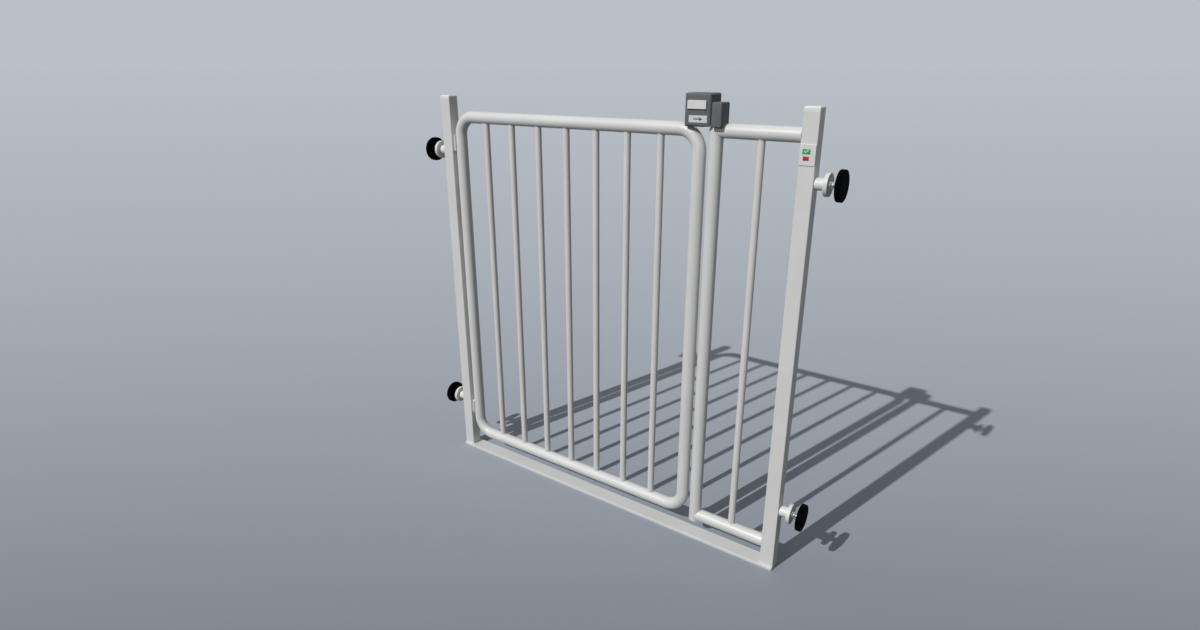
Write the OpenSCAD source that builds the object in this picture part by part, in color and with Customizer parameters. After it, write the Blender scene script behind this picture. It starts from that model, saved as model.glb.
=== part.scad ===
// Pressure-fit safety gate: two posts on a threshold bar, a hinged barred door,
// a fixed side panel, a push-button latch and four screw-out wall pads.
// Origin: centre of the threshold's underside. +X right, +Y back, +Z up.

/* [Frame] */
// Width over the two posts
frame_w = 738; // [660:1:900]
// Height of the posts from the floor
post_h = 765; // [680:1:900]
// Width of a post, across the doorway
post_w = 24; // [20:1:30]
// Depth of a post, through the doorway
post_d = 22; // [20:1:28]
// Corner radius of a post in plan
post_r = 1.5; // [0.5:0.1:3]
// Thickness of the plastic cap on a post
cap_t = 6; // [2:0.5:8]
// Height of the bevel round a cap
cap_bevel = 1.8; // [0.5:0.1:2]
// Thickness of the threshold bar
threshold_t = 6; // [4:0.5:12]
// Depth of the threshold bar, through the doorway
threshold_d = 30; // [28:1:44]
// Corner radius of the threshold bar in plan
threshold_r = 2.5; // [1:0.5:5]

/* [Door] */
// Width of the door over its two stiles
door_w = 536; // [440:1:560]
// Outer diameter of the bent tube
tube_d = 22; // [18:0.5:26]
// Bend radius of the tube at its centreline
bend_r = 34; // [28:1:50]
// Diameter of an upright bar
bar_d = 12; // [8:0.5:16]
// Number of bars in the door
door_bars = 7; // [4:1:8]
// Gap between the threshold and the door
door_lift = 28; // [15:1:60]
// Drop from the post's top to the door's top
door_drop = 28; // [10:1:60]
// Gap between the left post and the door
hinge_gap = 5.2; // [5:0.1:8]
// Gap between the door and the fixed panel
latch_gap = 5.5; // [5:0.1:8]

/* [Hinges] */
// Height of a hinge sleeve
sleeve_h = 30; // [20:1:50]
// Wall of a hinge sleeve
sleeve_wall = 2; // [1.5:0.1:2.5]
// Running clearance round the stile in a sleeve
sleeve_fit = 0.4; // [0.3:0.1:0.8]
// Clearance from a sleeve's rim to the bend that rests on it
sleeve_seat = 0.3; // [0.2:0.1:1]
// Distance from the lower bend's end to the lower sleeve
lower_sleeve_up = 8; // [2:1:40]
// Width of the web that joins a sleeve to the post
hinge_web = 12; // [8:1:18]

/* [Latch] */
// Width of the latch housing
housing_w = 44; // [40:0.5:60]
// Depth of the latch housing
housing_d = 36; // [34:1:44]
// Height of the latch housing
housing_h = 48.5; // [44:0.5:60]
// Edge radius of the latch housing
housing_r = 4.5; // [1:0.5:5]
// Overhang of the housing past the door's latch side
housing_over = 13.8; // [8:0.2:16]
// Drop of the housing's underside below the top of the tube
housing_sink = 6; // [4:0.5:8]
// Wall of the skirt that closes against the fixed panel
skirt_t = 2; // [1.5:0.1:2]
// Width of the push button
button_w = 31; // [22:0.5:32]
// Height of the push button
button_h = 12.6; // [10:0.2:16]
// Thickness of the push button
button_t = 8; // [6:0.5:12]
// Length of the push button's travel
button_travel = 2.5; // [1:0.1:4]
// Sliding clearance round the push button
button_fit = 0.4; // [0.2:0.1:0.6]
// Distance from the housing's right side to the button
button_right = 7; // [5:0.5:8]
// Distance from the housing's top to the button
button_down = 10.4; // [5:0.2:12]
// Width of the label under the button
label_w = 30; // [20:0.5:32]
// Height of the label
label_h = 10.4; // [8:0.2:12]
// Distance from the housing's right side to the label
label_right = 5.5; // [5:0.5:8]
// Thickness of the label
label_t = 0.6; // [0.4:0.1:1]
// Distance from the housing's underside to the label
label_up = 6.2; // [5:0.2:8]
// Width of the steel lug that carries the housing
lug_w = 8; // [6:1:12]
// Thickness of the steel lug
lug_t = 4; // [3:0.5:6]
// Depth that the lug reaches into the housing
lug_in = 12; // [8:1:14]
// Width of the catch block on the fixed panel
catch_w = 13.2; // [10:0.2:20]
// Depth of the catch block
catch_d = 28; // [24:1:34]
// Height of the catch block
catch_h = 36; // [28:0.5:44]
// Edge radius of the catch block
catch_r = 3; // [1:0.5:4]
// Distance that the catch block stands forward of the housing
catch_out = 2; // [0:0.5:4]
// Gap between the housing and the catch block
catch_gap = 5.2; // [5:0.1:8]

/* [Indicator] */
// Width of the indicator plate
indicator_w = 23; // [14:0.5:23.5]
// Height of the indicator plate
indicator_h = 29; // [20:0.5:40]
// Thickness of the indicator plate
indicator_t = 1.2; // [0.8:0.1:3]
// Drop from the post's top to the plate's middle
indicator_down = 64.5; // [40:0.5:120]

/* [Adjusters] */
// Drop from the post's top to the upper adjusters
adjuster_down = 104; // [80:1:160]
// Height of the lower adjusters above the floor
adjuster_up = 117; // [60:1:160]
// Diameter of the collar on a post
collar_d = 18; // [16:0.5:20]
// Length of the collar
collar_l = 14.3; // [10:0.1:20]
// Diameter of the adjusting wheel
wheel_d = 33.5; // [26:0.5:44]
// Thickness of the adjusting wheel
wheel_t = 6; // [5:0.5:12]
// Running gap between a collar and its wheel
wheel_gap = 0.3; // [0.2:0.1:0.8]
// Diameter of the threaded spindle
spindle_d = 10; // [8:0.5:12]
// Clearance round the spindle in the wheel, collar and post
spindle_fit = 0.4; // [0.3:0.1:0.6]
// Length of the spindle that shows between wheel and pad
spindle_out = 11.2; // [11.2:0.2:20]
// Length of the spindle inside the post
spindle_in = 16; // [14:0.5:16.5]
// Depth of the spindle's seat in its pad
pad_seat = 4; // [3:0.5:5]
// Clearance round the spindle in its pad
pad_fit = 0.1; // [0.05:0.05:0.3]
// Diameter of a wall pad
pad_d = 45.4; // [36:0.2:60]
// Thickness of a wall pad
pad_t = 8.3; // [7:0.1:12]
// Edge radius of a wall pad
pad_r = 2.5; // [1:0.5:3]
// Wall left at the blind end of a post's bore
post_wall = 1.5; // [1:0.1:2]

/* [Hidden] */
$fn = 64;
// Cutters run past the faces that they cut by this much
past = 1;

tube_r = tube_d / 2;
bar_r = bar_d / 2;
post_in = frame_w / 2 - post_w;

// Door: places of its tube and bars
hinge_x = -post_in + hinge_gap + tube_r;
latch_x = hinge_x + door_w - tube_d;
low_z = threshold_t + door_lift + tube_r;
top_z = post_h - door_drop - tube_r;
bar_gap = (door_w - 2 * tube_d - door_bars * bar_d) / (door_bars + 1);
bar_pitch = bar_gap + bar_d;

// Fixed panel: its upright stands beside the door's latch side
upright_x = latch_x + tube_d + latch_gap;
fixed_bar_x = (upright_x + tube_r + post_in) / 2;

// Latch: the housing sits on the door's top corner
door_right = latch_x + tube_r;
housing_right = door_right + housing_over;
housing_x = housing_right - housing_w / 2;
housing_z = top_z + tube_r - housing_sink;
housing_top = housing_z + housing_h;
relief_left = upright_x - tube_r - latch_gap;
relief_top = top_z + tube_r + latch_gap;
button_x = housing_right - button_right - button_w / 2;
button_z = housing_top - button_down - button_h / 2;
label_x = housing_right - label_right - label_w / 2;
label_z = housing_z + label_up + label_h / 2;
lug_x = housing_right - housing_w + housing_r + lug_w / 2;
catch_x = housing_right + catch_gap + catch_w / 2;
catch_y = (catch_d - housing_d) / 2 - catch_out;

// Adjusters: distances from the post's outer face
wheel_from = collar_l + wheel_gap;
pad_from = wheel_from + wheel_t + spindle_out;
adjuster_top = post_h - adjuster_down;
bore_d = spindle_d + 2 * spindle_fit;

// Cylinder along +X
module rod_x(d, l) {
    rotate([0, 90, 0])
        cylinder(d = d, h = l);
}

// Rectangle centred on the origin with round corners
module round_rect(w, h, r) {
    square([w - 2 * r, h], center = true);
    square([w, h - 2 * r], center = true);
    for (sx = [-1, 1], sy = [-1, 1])
        translate([sx * (w / 2 - r), sy * (h / 2 - r)])
            circle(r = r);
}

// Box centred in X and Y that stands on its base, with round edges
module round_box(w, d, h, r) {
    intersection() {
        linear_extrude(h)
            round_rect(w, d, r);
        translate([0, d / 2, h / 2])
            rotate([90, 0, 0])
                linear_extrude(d)
                    round_rect(w, h, r);
        translate([-w / 2, 0, h / 2])
            rotate([90, 0, 90])
                linear_extrude(w)
                    round_rect(d, h, r);
    }
}

// Quarter bend of the tube, from straight up to straight right
module bend() {
    rotate([90, 0, 0])
        rotate_extrude(angle = 90)
            translate([bend_r, 0])
                circle(d = tube_d);
}

// Closed loop of tube between two corners of its centreline
module tube_loop(x0, x1, z0, z1) {
    for (x = [x0, x1])
        translate([x, 0, z0 + bend_r])
            cylinder(d = tube_d, h = z1 - z0 - 2 * bend_r);
    for (z = [z0, z1])
        translate([x0 + bend_r, 0, z])
            rod_x(tube_d, x1 - x0 - 2 * bend_r);
    for (c = [[x0, z0, 180], [x1, z0, 90], [x1, z1, 0], [x0, z1, 270]])
        translate([
            c[0] + (c[0] == x0 ? bend_r : -bend_r),
            0,
            c[1] + (c[1] == z0 ? bend_r : -bend_r)
        ])
            rotate([0, c[2], 0])
                bend();
}

// Puts a right-hand adjuster piece, drawn outwards along +X, at its post
module at_adjuster(side, z) {
    translate([side * frame_w / 2, 0, z])
        mirror([side < 0 ? 1 : 0, 0, 0])
            children();
}

module threshold() {
    color("gainsboro")
        linear_extrude(threshold_t)
            round_rect(frame_w, threshold_d, threshold_r);
}

module post(side) {
    color("gainsboro")
        difference() {
            translate([side * (frame_w - post_w) / 2, 0, threshold_t])
                linear_extrude(post_h - cap_t - threshold_t)
                    round_rect(post_w, post_d, post_r);
            for (z = [adjuster_up, adjuster_top])
                at_adjuster(side, z)
                    translate([post_wall - post_w, 0, 0])
                        rod_x(bore_d, post_w - post_wall + past);
        }
}

module post_cap(side) {
    color("whitesmoke")
        translate([side * (frame_w - post_w) / 2, 0, post_h - cap_t])
            intersection() {
                linear_extrude(cap_t)
                    round_rect(post_w, post_d, post_r);
                cap_slope(post_w, post_d);
                rotate([0, 0, 90])
                    cap_slope(post_d, post_w);
            }
}

// Bevelled profile across one way of a cap
module cap_slope(w, d) {
    translate([0, d / 2, 0])
        rotate([90, 0, 0])
            linear_extrude(d)
                polygon([
                    [-w / 2, 0],
                    [w / 2, 0],
                    [w / 2, cap_t - cap_bevel],
                    [w / 2 - cap_bevel, cap_t],
                    [cap_bevel - w / 2, cap_t],
                    [-w / 2, cap_t - cap_bevel]
                ]);
}

module fixed_upright() {
    color("gainsboro")
        translate([upright_x, 0, 0]) {
            translate([0, 0, low_z - tube_r])
                cylinder(d = tube_d, h = top_z - low_z + tube_r);
            translate([0, 0, top_z])
                sphere(d = tube_d);
        }
}

module fixed_rail(z) {
    color("gainsboro")
        difference() {
            translate([upright_x, 0, z])
                rod_x(tube_d, post_in - upright_x);
            fixed_upright();
        }
}

module fixed_bar() {
    color("gainsboro")
        difference() {
            translate([fixed_bar_x, 0, low_z])
                cylinder(d = bar_d, h = top_z - low_z);
            for (z = [low_z, top_z])
                translate([upright_x, 0, z])
                    rod_x(tube_d, post_in - upright_x);
        }
}

module hinge(z) {
    sleeve_r = tube_r + sleeve_fit + sleeve_wall;
    color("whitesmoke")
        difference() {
            union() {
                translate([hinge_x, 0, z])
                    cylinder(r = sleeve_r, h = sleeve_h);
                translate([-post_in, -hinge_web / 2, z])
                    cube([hinge_gap + tube_r, hinge_web, sleeve_h]);
            }
            translate([hinge_x, 0, z - past])
                cylinder(r = tube_r + sleeve_fit, h = sleeve_h + 2 * past);
        }
}

module door_tube() {
    color("gainsboro")
        tube_loop(hinge_x, latch_x, low_z, top_z);
}

module door_bar(i) {
    color("gainsboro")
        difference() {
            translate([hinge_x + tube_r + i * bar_pitch - bar_r, 0, low_z])
                cylinder(d = bar_d, h = top_z - low_z);
            tube_loop(hinge_x, latch_x, low_z, top_z);
        }
}

// Steel tab welded on the tube's bend, which stands up inside the housing
module latch_lug() {
    color("silver")
        difference() {
            translate([lug_x - lug_w / 2, -lug_t / 2, top_z])
                cube([lug_w, lug_t, housing_z + lug_in - top_z]);
            tube_loop(hinge_x, latch_x, low_z, top_z);
        }
}

module latch_housing() {
    color("dimgray")
        difference() {
            translate([housing_x, 0, housing_z])
                round_box(housing_w, housing_d, housing_h, housing_r);
            tube_loop(hinge_x, latch_x, low_z, top_z);
            translate([lug_x - lug_w / 2, -lug_t / 2, housing_z - past])
                cube([lug_w, lug_t, lug_in + past]);
            translate([relief_left, skirt_t - housing_d / 2, housing_z - past])
                cube([housing_w, housing_d, relief_top - housing_z + past]);
            translate([button_x, -housing_d / 2, button_z])
                rotate([90, 0, 0])
                    translate([0, 0, -button_t])
                        linear_extrude(button_t + past)
                            square([button_w + 2 * button_fit, button_h + 2 * button_fit], center = true);
        }
}

module latch_label() {
    color("whitesmoke")
        translate([label_x, -housing_d / 2, label_z])
            rotate([90, 0, 0])
                linear_extrude(label_t)
                    square([label_w, label_h], center = true);
}

module latch_button() {
    color("whitesmoke")
        translate([button_x, -housing_d / 2 - button_travel, button_z])
            rotate([-90, 0, 0])
                linear_extrude(button_t)
                    round_rect(button_w, button_h, 1);
}

module catch_block() {
    color("dimgray")
        difference() {
            translate([catch_x, catch_y, housing_z])
                round_box(catch_w, catch_d, catch_h, catch_r);
            translate([upright_x, 0, top_z])
                rod_x(tube_d, post_in - upright_x);
            fixed_upright();
        }
}

module indicator_plate() {
    color("whitesmoke")
        translate([(frame_w - post_w) / 2, -post_d / 2, post_h - indicator_down])
            rotate([90, 0, 0])
                linear_extrude(indicator_t)
                    round_rect(indicator_w, indicator_h, 1.5);
}

module collar(side, z) {
    color("whitesmoke")
        at_adjuster(side, z)
            difference() {
                rod_x(collar_d, collar_l);
                translate([-past, 0, 0])
                    rod_x(bore_d, collar_l + 2 * past);
            }
}

module wheel(side, z) {
    color("whitesmoke")
        at_adjuster(side, z)
            translate([wheel_from, 0, 0])
                difference() {
                    rod_x(wheel_d, wheel_t);
                    translate([-past, 0, 0])
                        rod_x(bore_d, wheel_t + 2 * past);
                }
}

module spindle(side, z) {
    color("silver")
        at_adjuster(side, z)
            translate([-spindle_in, 0, 0])
                rod_x(spindle_d, spindle_in + pad_from + pad_seat);
}

module pad(side, z) {
    color("#141414")
        at_adjuster(side, z)
            translate([pad_from, 0, 0])
                rotate([0, 90, 0])
                    rotate_extrude()
                        difference() {
                            intersection() {
                                translate([0, pad_t / 2])
                                    round_rect(pad_d, pad_t, pad_r);
                                square([pad_d, pad_t]);
                            }
                            square([spindle_d / 2 + pad_fit, pad_seat]);
                        }
}

threshold();
post(-1);  // left_post
post(1);  // right_post
post_cap(-1);  // left_post_cap
post_cap(1);  // right_post_cap
fixed_upright();
fixed_rail(top_z);  // fixed_top_rail
fixed_rail(low_z);  // fixed_bottom_rail
fixed_bar();
catch_block();
indicator_plate();
hinge(top_z - bend_r - sleeve_seat - sleeve_h);  // hinge_upper
hinge(low_z + bend_r + lower_sleeve_up);  // hinge_lower
door_tube();
for (i = [1 : door_bars])
    door_bar(i);
latch_lug();
latch_housing();
latch_label();
latch_button();
collar(-1, adjuster_top);  // collar_left_top
collar(-1, adjuster_up);  // collar_left_bottom
collar(1, adjuster_top);  // collar_right_top
collar(1, adjuster_up);  // collar_right_bottom
wheel(-1, adjuster_top);  // wheel_left_top
wheel(-1, adjuster_up);  // wheel_left_bottom
wheel(1, adjuster_top);  // wheel_right_top
wheel(1, adjuster_up);  // wheel_right_bottom
spindle(-1, adjuster_top);  // spindle_left_top
spindle(-1, adjuster_up);  // spindle_left_bottom
spindle(1, adjuster_top);  // spindle_right_top
spindle(1, adjuster_up);  // spindle_right_bottom
pad(-1, adjuster_top);  // pad_left_top
pad(-1, adjuster_up);  // pad_left_bottom
pad(1, adjuster_top);  // pad_right_top
pad(1, adjuster_up);  // pad_right_bottom
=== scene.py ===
import math
import bmesh
import bpy
from mathutils import Matrix, Vector


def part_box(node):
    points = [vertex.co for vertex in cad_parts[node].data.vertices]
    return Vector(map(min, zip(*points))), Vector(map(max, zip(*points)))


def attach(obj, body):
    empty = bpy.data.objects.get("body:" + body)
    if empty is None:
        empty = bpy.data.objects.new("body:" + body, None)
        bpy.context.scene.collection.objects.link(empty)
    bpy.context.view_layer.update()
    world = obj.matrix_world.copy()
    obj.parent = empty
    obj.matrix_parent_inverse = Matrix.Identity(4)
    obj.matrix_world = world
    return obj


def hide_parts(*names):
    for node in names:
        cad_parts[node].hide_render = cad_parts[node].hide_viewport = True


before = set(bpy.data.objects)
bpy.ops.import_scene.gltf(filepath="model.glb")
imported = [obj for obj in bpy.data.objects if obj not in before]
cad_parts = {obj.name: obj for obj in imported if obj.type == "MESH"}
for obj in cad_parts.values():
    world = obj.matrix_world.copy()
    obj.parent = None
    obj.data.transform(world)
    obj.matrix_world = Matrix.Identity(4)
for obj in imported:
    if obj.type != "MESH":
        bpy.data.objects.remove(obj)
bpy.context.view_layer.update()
mm = 0.001
corners = ("left_top", "left_bottom", "right_top", "right_bottom")
print("frame loaded:", len(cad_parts), "nodes")


# ---- small tools ----

def linear(hexText, alpha=1.0):
    # sRGB hex to the linear values that shaders take
    values = [int(hexText[i:i + 2], 16) / 255 for i in (1, 3, 5)]
    return [v / 12.92 if v <= 0.04045 else ((v + 0.055) / 1.055) ** 2.4 for v in values] + [alpha]


def addNode(tree, kind, links=(), **settings):
    # links: (socket on the new node, node it comes from, that node's socket)
    node = tree.nodes.new(kind)
    inputs = settings.pop("inputs", {})
    for name, value in settings.items():
        setattr(node, name, value)
    for name, value in inputs.items():
        node.inputs[name].default_value = value
    for name, source, socket in links:
        tree.links.new(source.outputs[socket], node.inputs[name])
    return node


def newMaterial(name, **settings):
    material = bpy.data.materials.new(name)
    material.use_nodes = True
    tree = material.node_tree
    shader = tree.nodes["Principled BSDF"]
    for socket, value in settings.items():
        shader.inputs[socket.replace("_", " ")].default_value = value
    place = addNode(tree, "ShaderNodeTexCoord")
    return material, tree, shader, place


def wavyColour(tree, shader, place, light, dark, size, amount):
    # slow drift between two close tones, size is the width of a patch in metres
    noise = addNode(tree, "ShaderNodeTexNoise", [("Vector", place, "Object")],
                    inputs={"Scale": 1 / size, "Detail": 3.0, "Roughness": 0.55})
    ramp = addNode(tree, "ShaderNodeMapRange", [("Value", noise, "Fac")],
                   inputs={"From Min": 0.5 - amount, "From Max": 0.5 + amount})
    mix = addNode(tree, "ShaderNodeMix", [("Factor", ramp, "Result")], data_type="RGBA")
    mix.inputs["A"].default_value = linear(light)
    mix.inputs["B"].default_value = linear(dark)
    tree.links.new(mix.outputs["Result"], shader.inputs["Base Color"])
    return mix


def grain(tree, shader, place, size, height, kind="ShaderNodeTexNoise", **inputs):
    # fine relief: size is the width of a grain, height its rise, both in metres
    texture = addNode(tree, kind, [("Vector", place, "Object")], inputs={"Scale": 1 / size, **inputs})
    output = "Distance" if kind == "ShaderNodeTexVoronoi" else "Fac"
    bump = addNode(tree, "ShaderNodeBump", [("Height", texture, output)],
                   inputs={"Strength": 1.0, "Distance": height})
    tree.links.new(bump.outputs["Normal"], shader.inputs["Normal"])
    return texture


def roughRange(tree, shader, texture, low, high, output="Fac"):
    ramp = addNode(tree, "ShaderNodeMapRange", [("Value", texture, output)],
                   inputs={"To Min": low, "To Max": high})
    tree.links.new(ramp.outputs["Result"], shader.inputs["Roughness"])


def meshPiece(name, form, material, body, replaced=(), smooth=35):
    # closes a bmesh into a piece that rides on a CAD body
    mesh = bpy.data.meshes.new(name)
    bmesh.ops.recalc_face_normals(form, faces=form.faces)
    form.to_mesh(mesh)
    form.free()
    piece = bpy.data.objects.new(name, mesh)
    bpy.context.scene.collection.objects.link(piece)
    mesh.materials.append(material)
    finishPiece(piece, body, replaced, smooth)
    return piece


def finishPiece(piece, body, replaced=(), smooth=35):
    piece.data.shade_smooth()
    piece.data.set_sharp_from_angle(angle=math.radians(smooth))
    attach(piece, body)
    if replaced:
        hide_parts(*replaced)


def lathe(points, axis="X", rounds=None, radius=0.001, steps=64, segments=4):
    # turns an outline of (along, out) points round an axis; rounds lists the corners to soften
    form = bmesh.new()
    verts = [form.verts.new((out, 0, along)) for along, out in points]
    for a, b in zip(verts, verts[1:]):
        form.edges.new((a, b))
    if rounds:
        bmesh.ops.bevel(form, geom=[verts[i] for i in rounds], offset=radius, offset_type="OFFSET",
                        segments=segments, profile=0.5, affect="VERTICES", material=-1)
    bmesh.ops.spin(form, geom=form.verts[:] + form.edges[:], cent=(0, 0, 0), axis=(0, 0, 1),
                   angle=math.tau, steps=steps, use_merge=True)
    bmesh.ops.remove_doubles(form, verts=form.verts, dist=1e-7)
    if axis == "X":
        bmesh.ops.rotate(form, verts=form.verts, cent=(0, 0, 0),
                         matrix=Matrix.Rotation(math.radians(90), 3, "Y"))
    return form


def block(low, high, radius=0.0, segments=4):
    # box between two corners with round edges
    low, high = Vector(low), Vector(high)
    form = bmesh.new()
    bmesh.ops.create_cube(form, size=1)
    bmesh.ops.scale(form, vec=high - low, verts=form.verts)
    bmesh.ops.translate(form, vec=(low + high) / 2, verts=form.verts)
    if radius:
        bmesh.ops.bevel(form, geom=form.edges[:], offset=radius, offset_type="OFFSET", segments=segments,
                        profile=0.5, affect="EDGES", material=-1)
    return form


def rod(start, end, radius, sides=48):
    # plain round bar between two points, used for cutting
    start, end = Vector(start), Vector(end)
    turn = Vector((0, 0, 1)).rotation_difference(end - start).to_matrix()
    form = bmesh.new()
    bmesh.ops.create_cone(form, cap_ends=True, segments=sides, radius1=radius, radius2=radius,
                          depth=(end - start).length)
    bmesh.ops.rotate(form, verts=form.verts, cent=(0, 0, 0), matrix=turn)
    bmesh.ops.translate(form, vec=(start + end) / 2, verts=form.verts)
    return form


def joinForms(*forms):
    # gathers several bmeshes into the first one
    first = forms[0]
    for other in forms[1:]:
        mesh = bpy.data.meshes.new("gathered")
        other.to_mesh(mesh)
        other.free()
        first.from_mesh(mesh)
        bpy.data.meshes.remove(mesh)
    return first


def cut(piece, form):
    # takes a bmesh away from a piece and keeps the result in the piece's own mesh
    mesh = bpy.data.meshes.new("cutter")
    bmesh.ops.recalc_face_normals(form, faces=form.faces)
    form.to_mesh(mesh)
    form.free()
    cutter = bpy.data.objects.new("cutter", mesh)
    bpy.context.scene.collection.objects.link(cutter)
    modifier = piece.modifiers.new("cut", "BOOLEAN")
    modifier.operation = "DIFFERENCE"
    modifier.solver = "EXACT"
    modifier.use_self = True
    modifier.object = cutter
    bpy.context.view_layer.update()
    result = bpy.data.meshes.new_from_object(piece.evaluated_get(bpy.context.evaluated_depsgraph_get()))
    piece.modifiers.clear()
    old = piece.data
    piece.data = result
    bpy.data.meshes.remove(old)
    bpy.data.objects.remove(cutter)
    bpy.data.meshes.remove(mesh)


def softEdges(piece, width, segments=3, angle=32):
    bevel = piece.modifiers.new("soft edges", "BEVEL")
    bevel.width = width
    bevel.segments = segments
    bevel.limit_method = "ANGLE"
    bevel.angle_limit = math.radians(angle)
    bevel.use_clamp_overlap = True
    weighted = piece.modifiers.new("even shading", "WEIGHTED_NORMAL")
    weighted.keep_sharp = True


def softened(node, name, material, body, width, segments=3, angle=32):
    # a copy of a CAD node whose hard edges are broken, as on the real part
    form = bmesh.new()
    form.from_mesh(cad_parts[node].data)
    bmesh.ops.remove_doubles(form, verts=form.verts, dist=2e-6)
    bmesh.ops.dissolve_limit(form, angle_limit=math.radians(0.6), verts=form.verts, edges=form.edges)
    piece = meshPiece(name, form, material, body, [node], smooth=angle)
    softEdges(piece, width, segments, angle)
    return piece


def paint(node, material):
    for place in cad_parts[node].material_slots:
        place.material = material


# ---- materials ----

def powderCoatedSteel():
    # Powder coat baked on steel tube: satin, off-white, with the faint orange peel of melted powder
    finish = {"tone": "#DEDEDC", "shade": "#D6D6D3", "patch": 0.09, "peel": 0.0016, "peelHeight": 0.000012}
    material, tree, shader, place = newMaterial("powderCoatedSteel", Roughness=0.42, IOR=1.5,
                                                Coat_Weight=0.12, Coat_Roughness=0.25)
    wavyColour(tree, shader, place, finish["tone"], finish["shade"], finish["patch"], 0.25)
    peel = grain(tree, shader, place, finish["peel"], finish["peelHeight"], Detail=1.0, Roughness=0.4)
    roughRange(tree, shader, peel, 0.36, 0.5)
    return material


def mouldedPolypropylene(name="mouldedPolypropylene", tone="#E2E2DF", shade="#DADAD6"):
    # Injection-moulded polypropylene: waxy satin white from a spark-eroded tool, its grain drawn coarse to show
    material, tree, shader, place = newMaterial(name, Roughness=0.45, IOR=1.49,
                                                Subsurface_Weight=0.06, Subsurface_Scale=0.002)
    shader.inputs["Subsurface Radius"].default_value = (1.0, 0.9, 0.8)
    wavyColour(tree, shader, place, tone, shade, 0.012, 0.3)
    texture = grain(tree, shader, place, 0.0005, 0.00001, Detail=2.0, Roughness=0.6)
    roughRange(tree, shader, texture, 0.4, 0.52)
    return material


def mouldedAbs():
    # Moulded ABS, dark grey: a fine leather-like tool texture that takes the shine off
    material, tree, shader, place = newMaterial("mouldedAbs", Roughness=0.5, Specular_IOR_Level=0.1)
    wavyColour(tree, shader, place, "#6E6F73", "#66676B", 0.02, 0.3)
    texture = grain(tree, shader, place, 0.0007, 0.00003, "ShaderNodeTexVoronoi", Randomness=1.0)
    roughRange(tree, shader, texture, 0.44, 0.58, "Distance")
    return material


def pressedRubber():
    # Compression-moulded black rubber: dull, with a trace of bloom and talc in its pores
    material, tree, shader, place = newMaterial("pressedRubber", Roughness=0.8, Specular_IOR_Level=0.01)
    wavyColour(tree, shader, place, "#040405", "#070707", 0.006, 0.2)
    texture = grain(tree, shader, place, 0.0004, 0.00002, Detail=4.0, Roughness=0.7)
    roughRange(tree, shader, texture, 0.55, 0.75)
    return material


def zincPlatedSteel():
    # Rolled thread, bright zinc plate: bluish metal with a thin uneven passivation film
    material, tree, shader, place = newMaterial("zincPlatedSteel", Metallic=1.0)
    wavyColour(tree, shader, place, "#F2F4F6", "#E2E5E9", 0.004, 0.25)
    texture = grain(tree, shader, place, 0.0009, 0.000006, Detail=3.0, Roughness=0.5)
    roughRange(tree, shader, texture, 0.2, 0.36)
    return material


def printedFilm(name, tone, shade):
    # Screen-printed polycarbonate film: smooth and slightly glossy, ink a shade uneven
    material, tree, shader, place = newMaterial(name, Roughness=0.32, IOR=1.58, Coat_Weight=0.3, Coat_Roughness=0.15)
    wavyColour(tree, shader, place, tone, shade, 0.003, 0.3)
    texture = grain(tree, shader, place, 0.0006, 0.000004, Detail=1.0)
    roughRange(tree, shader, texture, 0.28, 0.38)
    return material


steel = powderCoatedSteel()
whitePlastic = mouldedPolypropylene()
capPlastic = mouldedPolypropylene("mouldedPolypropyleneCap", "#ECECEA", "#E6E6E3")
greyPlastic = mouldedAbs()
rubber = pressedRubber()
zinc = zincPlatedSteel()
labelFilm = printedFilm("printedFilmWhite", "#DADAD8", "#D3D3D0")
darkInk = printedFilm("printedFilmDark", "#3E4044", "#36383B")
greenInk = printedFilm("printedFilmGreen", "#35A25C", "#2F9954")
redInk = printedFilm("printedFilmRed", "#BE1F28", "#B31C24")
print("materials made")


# ---- posts, threshold, rails ----

def buildFrame():
    for side in ("left", "right"):
        softened(side + "_post", side + "PostTube", steel, "frame", 0.5 * mm)
        softened(side + "_post_cap", side + "PostCap", capPlastic, "frame", 0.4 * mm)
    softened("threshold", "thresholdBar", steel, "frame", 0.8 * mm)
    softened("fixed_upright", "fixedUprightTube", steel, "frame", 0.6 * mm, angle=50)
    for node in ("fixed_top_rail", "fixed_bottom_rail", "fixed_bar"):
        paint(node, steel)
    for node in ["door_tube"] + ["door_bar_%d" % i for i in range(1, 8)]:
        paint(node, steel)


def weldBead(centre, along, radius, carrierRadius, size):
    # fillet round a tube's end where it meets a round carrier that lies along X; carrierRadius 0 is a flat face
    form = bmesh.new()
    verts = [form.verts.new(p) for p in ((radius - size / 3, 0, size), (radius + size / 4, 0, size * 0.75),
                                        (radius + size * 0.75, 0, size / 4), (radius + size, 0, -size / 3))]
    for a, b in zip(verts, verts[1:] + verts[:1]):
        form.edges.new((a, b))
    bmesh.ops.spin(form, geom=form.verts[:] + form.edges[:], cent=(0, 0, 0), axis=(0, 0, 1),
                   angle=math.tau, steps=40, use_merge=True)
    bmesh.ops.remove_doubles(form, verts=form.verts, dist=1e-7)
    if carrierRadius:
        for vert in form.verts:  # the bead follows the carrier's round side
            side = min(abs(vert.co.y), carrierRadius * 0.999)
            vert.co.z += math.sqrt(carrierRadius ** 2 - side ** 2) - carrierRadius
    turn = Vector((0, 0, 1)).rotation_difference(Vector(along)).to_matrix()
    if along == (0, 0, -1):
        turn = Matrix.Rotation(math.pi, 3, "X")
    bmesh.ops.rotate(form, verts=form.verts, cent=(0, 0, 0), matrix=turn)
    bmesh.ops.translate(form, vec=centre, verts=form.verts)
    return form


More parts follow.
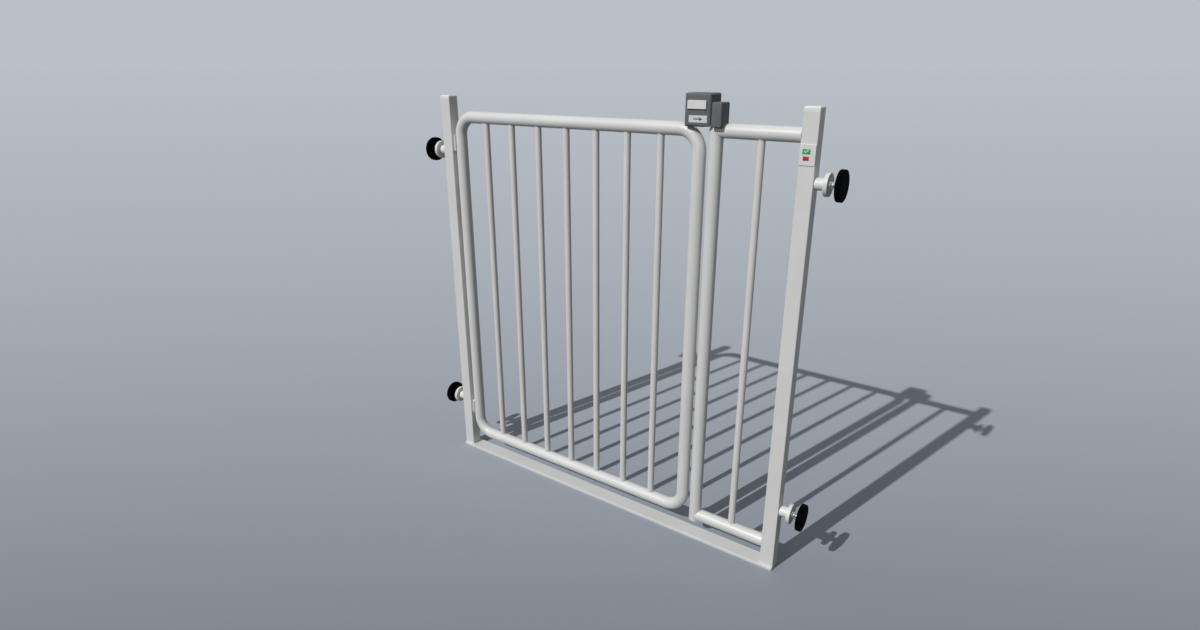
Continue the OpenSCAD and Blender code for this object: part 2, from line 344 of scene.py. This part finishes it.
def buildWelds():
    weld = {"bar": 1.1 * mm, "tube": 1.6 * mm}
    tubeLow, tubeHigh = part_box("door_tube")
    tubeRadius = (tubeHigh[1] - tubeLow[1]) / 2
    low, high = tubeLow[2] + 2 * tubeRadius, tubeHigh[2] - 2 * tubeRadius
    groups = {"door": ["door_bar_%d" % i for i in range(1, 8)], "frame": ["fixed_bar"]}
    for body, bars in groups.items():
        beads = []
        for bar in bars:
            barLow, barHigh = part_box(bar)
            x = (barLow[0] + barHigh[0]) / 2
            radius = (barHigh[0] - barLow[0]) / 2
            beads.append(weldBead((x, 0, low), (0, 0, 1), radius, tubeRadius, weld["bar"]))
            beads.append(weldBead((x, 0, high), (0, 0, -1), radius, tubeRadius, weld["bar"]))
        meshPiece(body + "BarWelds", joinForms(*beads), steel, body, smooth=60)
    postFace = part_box("right_post")[0][0]
    beads = []
    for rail in ("fixed_top_rail", "fixed_bottom_rail"):
        railLow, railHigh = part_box(rail)
        middle = (railLow[2] + railHigh[2]) / 2
        beads.append(weldBead((postFace, 0, middle), (-1, 0, 0), tubeRadius - 0.6 * mm, 0, weld["tube"]))
    meshPiece("railWelds", joinForms(*beads), steel, "frame", smooth=60)


buildFrame()
buildWelds()
print("frame and door done")


# ---- hinges ----

def buildHinges():
    hinge = {"open": 20.4 * mm}
    for which in ("upper", "lower"):
        low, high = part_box("hinge_" + which)
        saddle = softened("hinge_" + which, which + "HingeSaddle", whitePlastic, "frame",
                          0.4 * mm, angle=40)
        # the sleeve is open on the door's side, where its snap-in lips end
        saddle.modifiers.clear()
        margin = 1 * mm
        cut(saddle, block((high[0] - hinge["open"], low[1] - margin, low[2] - margin),
                          (high[0] + margin, high[1] + margin, high[2] + margin)))
        finishPiece(saddle, "frame", smooth=40)
        softEdges(saddle, 0.4 * mm, 3, 40)


buildHinges()
print("hinges done")


# ---- latch ----

def flatMark(name, outline, depth, material, body):
    # thin printed or moulded mark that faces the front, from an outline of (x, z) points at y = outline's level
    y, points = outline
    form = bmesh.new()
    face = form.faces.new([form.verts.new((x, y, z)) for x, z in points])
    raised = bmesh.ops.extrude_face_region(form, geom=[face])
    moved = [g for g in raised["geom"] if isinstance(g, bmesh.types.BMVert)]
    bmesh.ops.translate(form, vec=(0, -depth, 0), verts=moved)
    return meshPiece(name, form, material, body, smooth=30)


def buildLatch():
    latch = {"screw": 2.9 * mm, "cross": 0.5 * mm, "arrowLong": 15 * mm, "arrowTall": 5.4 * mm,
             "shaft": 1.5 * mm, "head": 5.2 * mm, "ink": 0.12 * mm, "seam": 1.6 * mm, "catchRound": 2.4 * mm,
             "fit": 0.1 * mm, "stop": 0.1 * mm}
    low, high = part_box("latch_housing")
    housing = softened("latch_housing", "latchHousing", greyPlastic, "door", 0.3 * mm, angle=40)
    catchLow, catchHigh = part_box("catch_block")
    body = block((high[0] + latch["seam"], catchLow[1], low[2]), catchHigh, latch["catchRound"], 5)
    catch = meshPiece("catchBlock", body, greyPlastic, "frame", ["catch_block"], smooth=40)
    railLow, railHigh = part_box("fixed_top_rail")
    railRadius = (railHigh[2] - railLow[2]) / 2
    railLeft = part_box("fixed_upright")[0][0]
    # the block straddles the rail and the upright's bend
    cut(catch, rod((railLeft - 0.02, 0, railHigh[2] - railRadius), (railHigh[0], 0, railHigh[2] - railRadius),
                   railRadius + latch["fit"]))
    finishPiece(catch, "frame", smooth=40)
    button = softened("latch_button", "pushButton", whitePlastic, "button", 0.7 * mm)
    # its back stops just short of the pocket's floor when it is pressed
    buttonLow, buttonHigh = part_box("latch_button")
    margin = 1 * mm
    button.modifiers.clear()
    cut(button, block((buttonLow[0] - margin, buttonHigh[1] - latch["stop"], buttonLow[2] - margin),
                      (buttonHigh[0] + margin, buttonHigh[1] + margin, buttonHigh[2] + margin)))
    finishPiece(button, "button", smooth=32)
    softEdges(button, 0.7 * mm)
    softened("latch_label", "arrowLabel", labelFilm, "door", 0.15 * mm)
    paint("latch_lug", zinc)
    # plain arrow on the label, pointing the way the door's latch side lies
    labelLow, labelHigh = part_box("latch_label")
    x, z = (labelLow[0] + labelHigh[0]) / 2, (labelLow[2] + labelHigh[2]) / 2
    left, right = x - latch["arrowLong"] / 2, x + latch["arrowLong"] / 2
    neck = right - latch["head"]
    shaft, tall = latch["shaft"] / 2, latch["arrowTall"] / 2
    arrow = [(left, z - shaft), (neck, z - shaft), (neck, z - tall), (right, z), (neck, z + tall), (neck, z + shaft),
             (left, z + shaft)]
    flatMark("labelArrow", (labelLow[1] + 0.02 * mm, arrow), latch["ink"], darkInk, "door")
    # two cross-head screws in the back of the housing and one in the back of the catch
    buildBackScrews("housingScrews", low, high, high[1], "door", latch, [(0.24, 0.7), (0.76, 0.7)])
    buildBackScrews("catchScrew", catchLow, catchHigh, catchHigh[1], "frame", latch, [(0.5, 0.72)])


def buildBackScrews(name, low, high, face, body, latch, places):
    forms = []
    for across, up in places:
        x = low[0] + (high[0] - low[0]) * across
        z = low[2] + (high[2] - low[2]) * up
        head = lathe([(-0.6 * mm, 0), (-0.6 * mm, latch["screw"]), (0.35 * mm, latch["screw"]), (0.7 * mm, 0)],
                     axis="Z", rounds=[2], radius=0.3 * mm, steps=32)
        bmesh.ops.rotate(head, verts=head.verts, cent=(0, 0, 0), matrix=Matrix.Rotation(math.radians(-90), 3, "X"))
        bmesh.ops.translate(head, vec=(x, face - 0.7 * mm, z), verts=head.verts)
        forms.append(head)
    screws = meshPiece(name, joinForms(*forms), zinc, body, smooth=40)
    for across, up in places:
        x = low[0] + (high[0] - low[0]) * across
        z = low[2] + (high[2] - low[2]) * up
        arm, half = latch["screw"] * 0.62, latch["cross"] / 2
        for wide, tall in ((arm, half), (half, arm)):
            cut(screws, block((x - wide, face - 0.6 * mm, z - tall), (x + wide, face + 1.0 * mm, z + tall)))
    finishPiece(screws, body, smooth=40)


buildLatch()
print("latch done")


# ---- indicator ----

def buildIndicator():
    flag = {"wide": 11.2 * mm, "tall": 7.2 * mm, "redWide": 8.6 * mm, "redTall": 6.0 * mm, "up": 4.6 * mm, "redDown": 4.8 * mm,
            "proud": 0.25 * mm, "tick": 1.3 * mm, "aside": 1.6 * mm, "frame": 0.7 * mm}
    softened("indicator_plate", "indicatorPlate", whitePlastic, "frame", 0.35 * mm)
    low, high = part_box("indicator_plate")
    x, z = (low[0] + high[0]) / 2 - flag["aside"], (low[2] + high[2]) / 2
    for name, middle, wide, tall, ink in (("greenFlag", z + flag["up"], flag["wide"], flag["tall"], greenInk),
                                          ("redFlag", z - flag["redDown"], flag["redWide"], flag["redTall"], redInk)):
        window = block((x - wide / 2, low[1] - flag["proud"], middle - tall / 2),
                       (x + wide / 2, low[1] + flag["proud"], middle + tall / 2), 0.2 * mm, 2)
        meshPiece(name, window, ink, "frame")
    # tick, a bent stroke of even width
    middle, width = z + flag["up"], flag["tick"] / 2 ** 0.5
    foot, left, right = (x - 0.9 * mm, middle - 2.2 * mm), (x - 3.4 * mm, middle + 0.3 * mm), (x + 3.4 * mm, middle + 2.1 * mm)
    tick = [foot, right, (right[0] - width, right[1] + width), (foot[0], foot[1] + 2 * width),
            (left[0] + width, left[1] + width), left]
    flatMark("greenFlagTick", (low[1] - flag["proud"] + 0.02 * mm, tick), 0.12 * mm, labelFilm, "frame")


buildIndicator()
print("indicator done")


# ---- adjusters ----

def outward(form, side, x, z):
    # puts a piece that was turned along +X at its post, mirrored for the left side
    if side < 0:
        bmesh.ops.rotate(form, verts=form.verts, cent=(0, 0, 0), matrix=Matrix.Rotation(math.pi, 3, "Z"))
    bmesh.ops.translate(form, vec=(x, 0, z), verts=form.verts)
    return form


def threadedRod(length, major, depth, pitch, sides=28):
    # V thread: one turn of a notched outline swept up by spin, then repeated end to end
    form = bmesh.new()
    radius = major / 2
    profile = [(radius - depth, 0), (radius, pitch * 0.42), (radius, pitch * 0.58), (radius - depth, pitch)]
    verts = [form.verts.new((out, 0, up)) for out, up in profile]
    for a, b in zip(verts, verts[1:]):
        form.edges.new((a, b))
    turns = int(length / pitch) - 1
    bmesh.ops.spin(form, geom=form.verts[:] + form.edges[:], cent=(0, 0, 0), axis=(0, 0, 1),
                   dvec=(0, 0, pitch / sides), angle=math.tau * turns, steps=sides * turns)
    bmesh.ops.remove_doubles(form, verts=form.verts, dist=2e-6)
    bmesh.ops.holes_fill(form, edges=[e for e in form.edges if e.is_boundary], sides=0)
    return form


def buildAdjusters():
    grip = {"ribs": 20, "ribRadius": 0.9 * mm, "ribDepth": 0.35 * mm, "hub": 1.0 * mm, "edge": 0.5 * mm,
            "pitch": 2 * mm, "thread": 0.5 * mm, "rings": (9, 13, 17), "ringWide": 1.1 * mm, "ringDeep": 0.6 * mm}
    for corner in corners:
        side = -1 if "left" in corner else 1
        low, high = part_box("collar_" + corner)
        z = (low[2] + high[2]) / 2
        post = high[0] if side < 0 else low[0]
        length, radius = high[0] - low[0], (high[2] - low[2]) / 2
        bore = 5.4 * mm
        outline = [(0, bore), (0, radius), (length, radius), (length, bore)]
        outline += [(0, bore)]
        softened("collar_" + corner, "postCollar_" + corner, whitePlastic, "frame", 0.7 * mm)

        # adjusting wheel: rounded rim and a plain outer face
        low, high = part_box("wheel_" + corner)
        thick, rim = high[0] - low[0], (high[2] - low[2]) / 2
        start = high[0] if side < 0 else low[0]
        outline = [(0, bore), (0, rim), (thick, rim), (thick, bore)]
        form = lathe(outline, rounds=[1, 2], radius=grip["edge"], steps=96)
        ends = [v for v in form.verts if abs(math.hypot(v.co.y, v.co.z) - bore) < 1e-6]
        edges = [e for e in form.edges if e.is_boundary and all(v in ends for v in e.verts)]
        bmesh.ops.bridge_loops(form, edges=edges)
        wheel = meshPiece("adjustingWheel_" + corner, outward(form, side, start, z), whitePlastic, "wheel_" + corner,
                          ["wheel_" + corner], smooth=40)

        # threaded spindle
        low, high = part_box("spindle_" + corner)
        start = high[0] if side < 0 else low[0]
        form = threadedRod(high[0] - low[0] - 3.5 * mm, high[2] - low[2], grip["thread"], grip["pitch"])
        bmesh.ops.rotate(form, verts=form.verts, cent=(0, 0, 0), matrix=Matrix.Rotation(math.radians(90), 3, "Y"))
        meshPiece("threadedSpindle_" + corner, outward(form, side, start + side * 0.05 * mm, z), zinc, "screw_" + corner,
                  ["spindle_" + corner], smooth=50)

        # wall pad: rounded disc with a boss round the spindle and grip rings on its wall face
        low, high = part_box("pad_" + corner)
        start = high[0] if side < 0 else low[0]
        thick, edge = high[0] - low[0], (high[2] - low[2]) / 2
        seat = 4 * mm
        outline = [(seat, 0), (seat, 5.1 * mm), (0, 5.1 * mm), (0, 8 * mm), (0.5 * mm, 9 * mm), (0.5 * mm, edge),
                   (thick, edge)]
        rounds = [5, 6]
        for ring in sorted(grip["rings"], reverse=True):
            out = ring * mm
            outline += [(thick, out + grip["ringWide"]), (thick - grip["ringDeep"], out + grip["ringWide"] * 0.7),
                        (thick - grip["ringDeep"], out + grip["ringWide"] * 0.3), (thick, out)]
        outline += [(thick, 0)]
        form = lathe(outline, rounds=rounds, radius=1.0 * mm, steps=80)
        meshPiece("rubberPad_" + corner, outward(form, side, start, z), rubber, "screw_" + corner,
                  ["pad_" + corner], smooth=40)


buildAdjusters()
print("adjusters done")


# ---- stage, light and camera ----

def buildStage():
    # painted shade on the floor: tones by closeness, which is one over the distance in metres from the near edge's
    # middle, darker near and paler far
    stage = {"half": 400.0, "middle": (0.669, -0.956, 0.0), "aside": 35.0, "sideways": 0.4,
             "tones": ((0.0, "#D0D6DD"), (0.65, "#ABB2BC"), (1.3, "#7D8590")), "bounce": 0.25}
    form = bmesh.new()
    bmesh.ops.create_grid(form, x_segments=1, y_segments=1, size=stage["half"])
    mesh = bpy.data.meshes.new("studioFloor")
    form.to_mesh(mesh)
    form.free()
    floor = bpy.data.objects.new("studioFloor", mesh)
    bpy.context.scene.collection.objects.link(floor)
    # Matt studio floor whose colour grows paler with distance, a painted shade that stands in for the light's falloff
    material, tree, shader, place = newMaterial("floorPaintedShade", Roughness=0.95, Specular_IOR_Level=0.0)
    shift = addNode(tree, "ShaderNodeVectorMath", [(0, place, "Object")], operation="SUBTRACT")
    shift.inputs[1].default_value = stage["middle"]
    turn = addNode(tree, "ShaderNodeVectorRotate", [("Vector", shift, "Vector")], rotation_type="Z_AXIS",
                   inputs={"Angle": -math.radians(stage["aside"])})
    narrow = addNode(tree, "ShaderNodeVectorMath", [(0, turn, "Vector")], operation="MULTIPLY")
    narrow.inputs[1].default_value = (stage["sideways"], 1.0, 0.0)
    distance = addNode(tree, "ShaderNodeVectorMath", [(0, narrow, "Vector")], operation="LENGTH")
    close = addNode(tree, "ShaderNodeMath", [(1, distance, "Value")], operation="DIVIDE")
    close.inputs[0].default_value = 1.0
    widest = stage["tones"][-1][0]
    # closeness levels off at the widest stop, so that no rim shows on the floor
    share = addNode(tree, "ShaderNodeMath", [(0, close, "Value")], operation="DIVIDE")
    share.inputs[1].default_value = widest
    fourth = addNode(tree, "ShaderNodeMath", [(0, share, "Value")], operation="POWER")
    fourth.inputs[1].default_value = 4
    more = addNode(tree, "ShaderNodeMath", [(0, fourth, "Value")], operation="ADD")
    more.inputs[1].default_value = 1
    root = addNode(tree, "ShaderNodeMath", [(0, more, "Value")], operation="POWER")
    root.inputs[1].default_value = 0.25
    part = addNode(tree, "ShaderNodeMath", [(0, share, "Value"), (1, root, "Value")], operation="DIVIDE")
    # the ramp holds the painted shade, dark close by and pale far off
    ramp = addNode(tree, "ShaderNodeValToRGB", [("Fac", part, "Value")])
    ramp.color_ramp.elements.new(stage["tones"][1][0] / widest)
    for stop, (near, tone) in zip(ramp.color_ramp.elements, stage["tones"]):
        stop.position = near / widest
        stop.color = linear(tone)
    # the floor throws back less light than it shows, which keeps undersides dark
    rays = addNode(tree, "ShaderNodeLightPath")
    seen = addNode(tree, "ShaderNodeMath", [(0, rays, "Is Camera Ray"), (1, rays, "Is Glossy Ray")],
                   operation="MAXIMUM")
    level = addNode(tree, "ShaderNodeMapRange", [("Value", seen, "Value")], inputs={"To Min": stage["bounce"]})
    tone = addNode(tree, "ShaderNodeVectorMath", [(0, ramp, "Color"), ("Scale", level, "Result")],
                   operation="SCALE")
    tree.links.new(tone.outputs["Vector"], shader.inputs["Base Color"])
    mesh.materials.append(material)


def buildLight():
    light = {"key": 2.5, "keyAngle": 0.6, "keyTowards": (0.235, 0.857, -0.762), "above": 0.36, "aboveAngle": 70,
             "front": 0.42, "frontAngle": 50, "frontTowards": (-0.1, 1, -0.1),
             "fill": 0.13, "backdrop": "#BBC1C7"}
    lamps = (("keyLight", light["key"], light["keyAngle"], light["keyTowards"]),
             ("overheadLight", light["above"], light["aboveAngle"], (0, 0, -1)),
             ("frontLight", light["front"], light["frontAngle"], light["frontTowards"]))
    for name, energy, angle, towards in lamps:
        lamp = bpy.data.lights.new(name, "SUN")
        lamp.energy = energy
        lamp.angle = math.radians(angle)
        holder = bpy.data.objects.new(name, lamp)
        holder.rotation_euler = Vector(towards).to_track_quat("-Z", "Y").to_euler()
        bpy.context.scene.collection.objects.link(holder)
    world = bpy.data.worlds.new("studio")
    bpy.context.scene.world = world
    world.use_nodes = True
    tree = world.node_tree
    tree.nodes.clear()
    rays = addNode(tree, "ShaderNodeLightPath")
    soft = addNode(tree, "ShaderNodeBackground", inputs={"Color": (0.93, 0.96, 1.0, 1.0), "Strength": light["fill"]})
    seen = addNode(tree, "ShaderNodeBackground", inputs={"Color": linear(light["backdrop"]), "Strength": 1.0})
    either = addNode(tree, "ShaderNodeMath", [(0, rays, "Is Camera Ray"), (1, rays, "Is Glossy Ray")],
                     operation="MAXIMUM")
    mix = addNode(tree, "ShaderNodeMixShader",
                  [("Fac", either, "Value"), (1, soft, "Background"), (2, seen, "Background")])
    addNode(tree, "ShaderNodeOutputWorld", [("Surface", mix, "Shader")])


def buildCamera():
    shot = {"place": (0.66898, -0.95598, 0.81206), "down": 19.97, "aside": 35.0, "focal": 676.69, "frameWidth": 1200}
    lens = bpy.data.cameras.new("camera")
    lens.sensor_width = 36
    lens.lens = shot["focal"] * lens.sensor_width / shot["frameWidth"]
    lens.clip_start = 0.01
    camera = bpy.data.objects.new("camera", lens)
    camera.location = shot["place"]
    camera.rotation_euler = (math.radians(90 - shot["down"]), 0, math.radians(shot["aside"]))
    bpy.context.scene.collection.objects.link(camera)
    bpy.context.scene.camera = camera
    bpy.context.scene.view_settings.view_transform = "Standard"


buildStage()
buildLight()
buildCamera()
print("stage, light and camera set")
